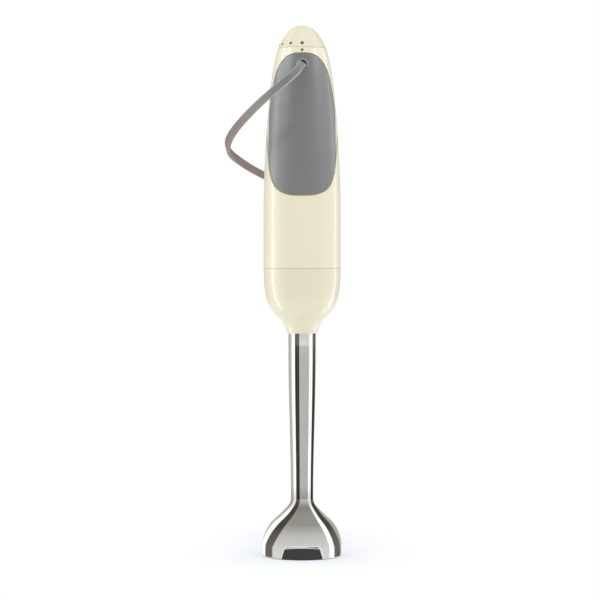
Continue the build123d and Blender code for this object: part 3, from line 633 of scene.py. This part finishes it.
# the way the flat lead's width points, at some of the route's points
LAST = len(lead_points) - 1
WIDE = {
    0: (0.84, 0, -0.55), 2: (0.82, 0, -0.58), 4: (0.68, 0, -0.74), 6: (0.45, 0.1, -0.9), 7: (0.1, 0.0, -1),
    8: (-0.2, 0.1, -1), 10: (-0.5, 0, -0.85), 12: (-1, 0, 0), 17: (-1, 0, 0), 19: (-0.6, -0.4, -0.7),
    21: (0, 0, -1), LAST - 7: (0, 0, -1), LAST - 4: (-0.3, 0.5, -0.8), LAST - 2: (-0.9, 0.3, -0.3),
    LAST: (-1, 0, 0),
}
distance = np.concatenate([[0], np.cumsum(np.linalg.norm(np.diff(lead_line, axis=0), axis=1))])
stops, wides, reached = [], [], 0
for index, wide in WIDE.items():
    gaps = np.linalg.norm(lead_line[reached:] - np.array(lead_points[index]), axis=1)
    window = int(np.searchsorted(distance, distance[reached] + (900 if index > 22 else 80))) - reached
    reached += int(np.argmin(gaps[:max(window, 1)]))
    stops.append(distance[reached])
    wides.append(np.array(wide, float) / np.linalg.norm(wide))
wides = np.array(wides)
wide = np.stack([np.interp(distance, stops, wides[:, k]) for k in range(3)], axis=1)
wide -= (wide * tangents).sum(1)[:, None] * tangents
wide /= np.linalg.norm(wide, axis=1)[:, None]
thick = np.cross(tangents, wide)


def flat_section(width, thickness, count=28):
    """A flat lead's section: a rounded slab with a shallow dip along the middle of each wide face."""
    out = []
    for k in range(count):
        a = 2 * math.pi * k / count
        c, s = math.cos(a), math.sin(a)
        across = width / 2 * math.copysign(abs(c) ** 0.62, c)
        dip = 1 - 0.07 * math.exp(-((across / (0.16 * width)) ** 2))
        out.append((across, thickness / 2 * math.copysign(abs(s) ** 0.5, s) * dip))
    return out


section = flat_section(LEAD_WIDTH, LEAD_THICKNESS)
sections = [[tuple(p + w * a + t * b) for a, b in section] for p, w, t in zip(lead_line, wide, thick)]
verts, faces = tube(sections)
lead = mesh_object("mains_lead", verts, faces, MATERIALS["cord_jacket"], "motor_unit")
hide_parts("cord", "cord_tail", "cord_hank")
# painted highlights on the outer 30% of each wide face, rising towards the edges
painted_rim_highlights = [max(0.0, (abs(across) / (LEAD_WIDTH / 2) - 0.7) / 0.3) for across, _ in section]
paint(lead, painted_rim_highlights * len(sections) + [0.0, 0.0])

# ------------------------------------------------------------------ plug
PLUG_MIDDLE = 13.05
# place along Y, half width and half height
PLUG_STATIONS = [
    (54.0, 14.8, 4.2), (54.4, 15.9, 5.6), (55.4, 16.9, 6.4), (57.5, 17.4, 6.7), (60.5, 17.3, 6.8),
    (63.5, 16.4, 6.8), (67, 14.6, 6.7), (70.5, 12.7, 6.4), (74, 11.0, 6.0), (77.5, 9.5, 5.5),
    (80.5, 8.5, 5.1), (82, 8.1, 4.9),
]
RIBS_FIRST, RIBS_LAST, RIB_PITCH, RIB_DEPTH = 63, 78, 3, 0.35


def slab(y, half_width, half_height, power=0.55, count=48):
    """A rounded-rectangle ring across Y."""
    ring = []
    for k in range(count):
        a = 2 * math.pi * k / count
        c, s = math.cos(a), math.sin(a)
        ring.append((half_width * math.copysign(abs(c) ** power, c), y,
                     PLUG_MIDDLE + half_height * math.copysign(abs(s) ** power, s)))
    return ring


shell = []
for (y0, w0, h0), (y1, w1, h1) in zip(PLUG_STATIONS, PLUG_STATIONS[1:]):
    for k in range(4):
        t = k / 4
        y, w, h = y0 + (y1 - y0) * t, w0 + (w1 - w0) * t, h0 + (h1 - h0) * t
        wave = math.sin(2 * math.pi * (y - RIBS_FIRST) / RIB_PITCH)
        ribs = RIB_DEPTH * max(0.0, wave) if RIBS_FIRST < y < RIBS_LAST else 0.0
        shell.append(slab(y, w - ribs, h - 0.6 * ribs))
for y, w, h in [(82, 7.2, 4.4), (82.6, 6.9, 4.2)]:
    shell.append(slab(y, w, h))
for k in range(5):  # the strain relief's rings
    y = 82.8 + 1.45 * k
    w, h = 5.4 - 0.38 * k, 4.0 - 0.34 * k
    shell += [slab(y, w, h, 0.7), slab(y + 0.75, w, h, 0.7), slab(y + 0.85, w - 0.8, h - 0.8, 0.7),
              slab(y + 1.35, w - 0.8, h - 0.8, 0.7)]
verts, faces = tube(shell)
plug = mesh_object("plug_moulding", verts, faces, MATERIALS["plug_plastic"], "motor_unit")
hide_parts("plug_body")


PIN_AWAY = 9.3
PIN_SIDES = 32


def pin(side):
    """A round pin with a wider sleeve near the plug and a rounded tip."""
    outline = [(54.2, 2.0), (45.2, 2.0), (45.0, 1.9), (44.9, 1.86), (37.2, 1.86), (36.2, 1.7), (35.5, 1.3),
               (35.1, 0.7), (35.0, 0.2)]
    turns = [2 * math.pi * k / PIN_SIDES for k in range(PIN_SIDES)]
    return tube([[(side * PIN_AWAY + r * math.cos(a), y, PLUG_MIDDLE + r * math.sin(a)) for a in turns]
                 for y, r in outline])


pin_verts, pin_faces = pin(-1)
more_verts, more_faces = pin(1)
pin_faces += [tuple(i + len(pin_verts) for i in face) for face in more_faces]
pins = mesh_object("plug_pin_pair", pin_verts + more_verts, pin_faces, MATERIALS["pin_metal"], "motor_unit")
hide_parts("plug_pins")

# a soft tie round the hank's turns
TIE_CENTRE = (15.9, 96.5, 3.05)
TIE_HALF_WIDTH, TIE_HALF_HEIGHT, TIE_STEPS, TIE_SQUARENESS = 7.1, 3.45, 64, 0.45
TIE_SECTION = ((-2.6, -0.1), (-2.6, 0.3), (-2.2, 0.5), (2.2, 0.5), (2.6, 0.3), (2.6, -0.1))
tie_verts = []
for k in range(TIE_STEPS):
    a = 2 * math.pi * k / TIE_STEPS
    c, s = math.cos(a), math.sin(a)
    x = TIE_CENTRE[0] + TIE_HALF_WIDTH * math.copysign(abs(c) ** TIE_SQUARENESS, c)
    z = TIE_CENTRE[2] + TIE_HALF_HEIGHT * math.copysign(abs(s) ** TIE_SQUARENESS, s)
    out = Vector((c, 0, s * 1.6)).normalized()
    tie_verts += [(x + out.x * t, TIE_CENTRE[1] + y, max(0.02, z + out.z * t)) for y, t in TIE_SECTION]
tie = mesh_object("hank_tie", tie_verts, grid_faces(TIE_STEPS, len(TIE_SECTION), along=True),
                  MATERIALS["seal_rubber"], "motor_unit")

# ------------------------------------------------------------------ ground
def stage_disc(name, radius, level, made):
    mesh = bpy.data.meshes.new(name)
    ring = [(radius * math.cos(2 * math.pi * k / 96), radius * math.sin(2 * math.pi * k / 96), level)
            for k in range(96)]
    mesh.from_pydata(ring, [], [tuple(range(96))])
    obj = bpy.data.objects.new(name, mesh)
    bpy.context.scene.collection.objects.link(obj)
    mesh.materials.append(made)
    obj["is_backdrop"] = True
    return obj


# the floor glows white, with painted shadow from an ambient-occlusion ramp near the foot, darkest under the
# bell
made, n = material("ground_white_painted_shadow")
near = n.add("ShaderNodeAmbientOcclusion", {"Distance": 0.09}, samples=16).outputs["AO"]
tone = n.ramp(near, [(0.0, linear(66, 63, 63)), (0.12, linear(92, 90, 90)), (0.35, linear(190, 192, 200)),
                     (0.62, linear(233, 236, 245)), (0.88, linear(245, 248, 252)), (0.985, (1, 1, 1, 1))])
glow = n.add("ShaderNodeEmission", {"Color": tone, "Strength": 1.0})
n.add("ShaderNodeOutputMaterial", {"Surface": glow.outputs[0]})
ground = stage_disc("ground", 3.0, -0.0004, made)
ground.visible_glossy = ground.visible_diffuse = ground.visible_shadow = False

# a grey disc under the foot, unseen by the camera and darker than the white floor: painted shade for light
# bounced and mirrored inside the bell
made, n = material("shade_disc_under_foot")
shade = n.add("ShaderNodeBsdfDiffuse", {"Color": linear(120, 118, 116)})
n.add("ShaderNodeOutputMaterial", {"Surface": shade.outputs[0]})
under = stage_disc("shade_disc_under_foot", 0.0292, -0.0002, made)
under.visible_camera = False

# ------------------------------------------------------------------ surroundings
world = bpy.data.worlds.new("studio")
bpy.context.scene.world = world
world.use_nodes = True
world.cycles.sampling_method = "NONE"
n = Nodes(world.node_tree)
way = n.add("ShaderNodeTexCoord").outputs["Generated"]
facing = n.add("ShaderNodeVectorMath", {0: way, 1: (0, 0.9945, -0.1045)}, operation="SUBTRACT").outputs[0]
facing = n.add("ShaderNodeVectorMath", {0: facing}, operation="NORMALIZE").outputs[0]
facing = n.add("ShaderNodeSeparateXYZ", {0: facing}).outputs
across = n.span(n.maths("DIVIDE", facing[0], n.level_length(facing, 1e-6)), -1.0, 1.0)
tilt = n.span(facing[2], -1.0, 1.0)
WHITE = (1.15, 1.15, 1.15, 1)
GREY, DARK = linear(184, 184, 180), linear(62, 56, 51)


def at(u):
    return (u + 1) / 2


strips = n.ramp(across, [
    (at(-1.0), linear(170, 172, 170)), (at(-0.78), linear(196, 198, 196)), (at(-0.745), WHITE),
    (at(-0.545), WHITE), (at(-0.515), DARK), (at(-0.225), DARK), (at(-0.19), GREY), (at(0.5), GREY),
    (at(0.535), WHITE), (at(0.745), WHITE), (at(0.775), DARK), (at(0.955), DARK),
    (at(0.985), linear(178, 176, 172)), (at(1.0), linear(190, 190, 188))])
middle = n.ramp(tilt, [
    (at(-0.05), linear(184, 184, 182)), (at(0.02), linear(182, 182, 180)), (at(0.07), linear(222, 222, 219)),
    (at(0.2), linear(212, 211, 208)), (at(0.42), linear(186, 185, 181)), (at(0.66), linear(151, 150, 144)),
    (at(0.82), linear(148, 146, 140)), (at(1.0), linear(190, 190, 188))])
in_middle = n.ramp(across, [(at(-0.225), (0, 0, 0, 1)), (at(-0.185), (1, 1, 1, 1)), (at(0.49), (1, 1, 1, 1)),
                            (at(0.53), (0, 0, 0, 1))])
lift = n.maths("MULTIPLY", n.span(facing[2], 0.02, 0.08), n.span(facing[2], 0.15, 0.6, 1.0, 0.2))
strips = n.mix(lift, strips, linear(108, 103, 95), blend="LIGHTEN")
mirrored = n.mix(in_middle, strips, middle)
mirrored = n.mix(n.span(facing[2], -0.14, -0.3), mirrored, (1.3, 1.3, 1.3, 1))
ray = n.add("ShaderNodeLightPath").outputs
sides = n.add("ShaderNodeSeparateXYZ", {0: way}).outputs
aside = n.maths("ABSOLUTE", sides[0])
soft = n.mix(n.span(aside, 0.15, 0.95, smooth=True), (0.885, 0.885, 0.865, 1), (1.12, 1.12, 1.17, 1))
tone = n.mix(ray["Is Glossy Ray"], soft, mirrored)
tone = n.mix(ray["Is Camera Ray"], tone, (1, 1, 1, 1))
sky = n.add("ShaderNodeBackground", {"Color": tone, "Strength": 1.0})
n.add("ShaderNodeOutputWorld", {"Surface": sky.outputs[0]})

# ------------------------------------------------------------------ lights
def lit_group(name, pieces):
    """A collection of the pieces that some lights reach."""
    group = bpy.data.collections.new(name)
    bpy.context.scene.collection.children.link(group)
    for piece in pieces:
        group.objects.link(piece)
    return group


def area_light(name, place, aim, size, energy, group, colour=(1, 1, 1), gloss_only=True):
    """A rectangular light that the camera doesn't see and that reaches one group of pieces."""
    light = bpy.data.lights.new(name, "AREA")
    light.shape = "RECTANGLE"
    light.size, light.size_y = size
    light.energy = energy
    light.color = colour
    obj = bpy.data.objects.new(name, light)
    bpy.context.scene.collection.objects.link(obj)
    obj.location = place
    obj.rotation_euler = (Vector(aim) - Vector(place)).to_track_quat("-Z", "Y").to_euler()
    obj.visible_camera = False
    obj.visible_diffuse = not gloss_only
    obj.light_linking.receiver_collection = group


# pieces above the leg aren't mirrored in it
IN_REFLECTIONS = ("steel_leg_skin", "blade", "blade_hub", "lower_bearing_carrier", "shaft_seal", "drive_rod")
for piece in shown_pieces():
    if piece.name not in IN_REFLECTIONS:
        piece.visible_glossy = False

housing, dial_cap = frame["nodes"]["main_housing"], frame["nodes"]["dial_cap"]
gloss_lit = lit_group("gloss_lit", (collar, grip, housing))
crown_lit = lit_group("crown_lit", (dial_cap, housing, dial_lip))
STRIP_AWAY, STRIP_HEIGHT, STRIP_LENGTH = 1.6, 0.34, 3.2
for name, across_at, width, power in (("strip_left", -0.755, 0.2, 25.0), ("strip_right", 0.85, 0.1, 18.0)):
    turn = 2 * math.asin(across_at)
    place = (STRIP_AWAY * math.sin(turn), -STRIP_AWAY * math.cos(turn), STRIP_HEIGHT)
    area_light(name, place, (0, 0, STRIP_HEIGHT), (width, STRIP_LENGTH), power, gloss_lit)
PATCH_AIM = (0, 0, 0.36)
for name, side, power in (("patch_left", -1, 11.0), ("patch_right", 1, 8.0)):
    area_light(name, (1.3 * side, -0.7, 1.16), PATCH_AIM, (0.42, 0.3), power, gloss_lit)
area_light("overhead", (0, -0.5, 1.2), (0, 0, 0.38), (0.8, 0.8), 1.5, crown_lit, (0.86, 0.92, 1.0), False)

# ------------------------------------------------------------------ camera
camera = bpy.data.cameras.new("camera")
camera.lens = 118.86
camera.sensor_width = 36
view = bpy.data.objects.new("camera", camera)
bpy.context.scene.collection.objects.link(view)
view.location = (-0.0016, -1.5, 0.23)
view.rotation_euler = (math.radians(90 - 1.41), 0, 0)
bpy.context.scene.camera = view
bpy.context.scene.view_settings.view_transform = "Standard"
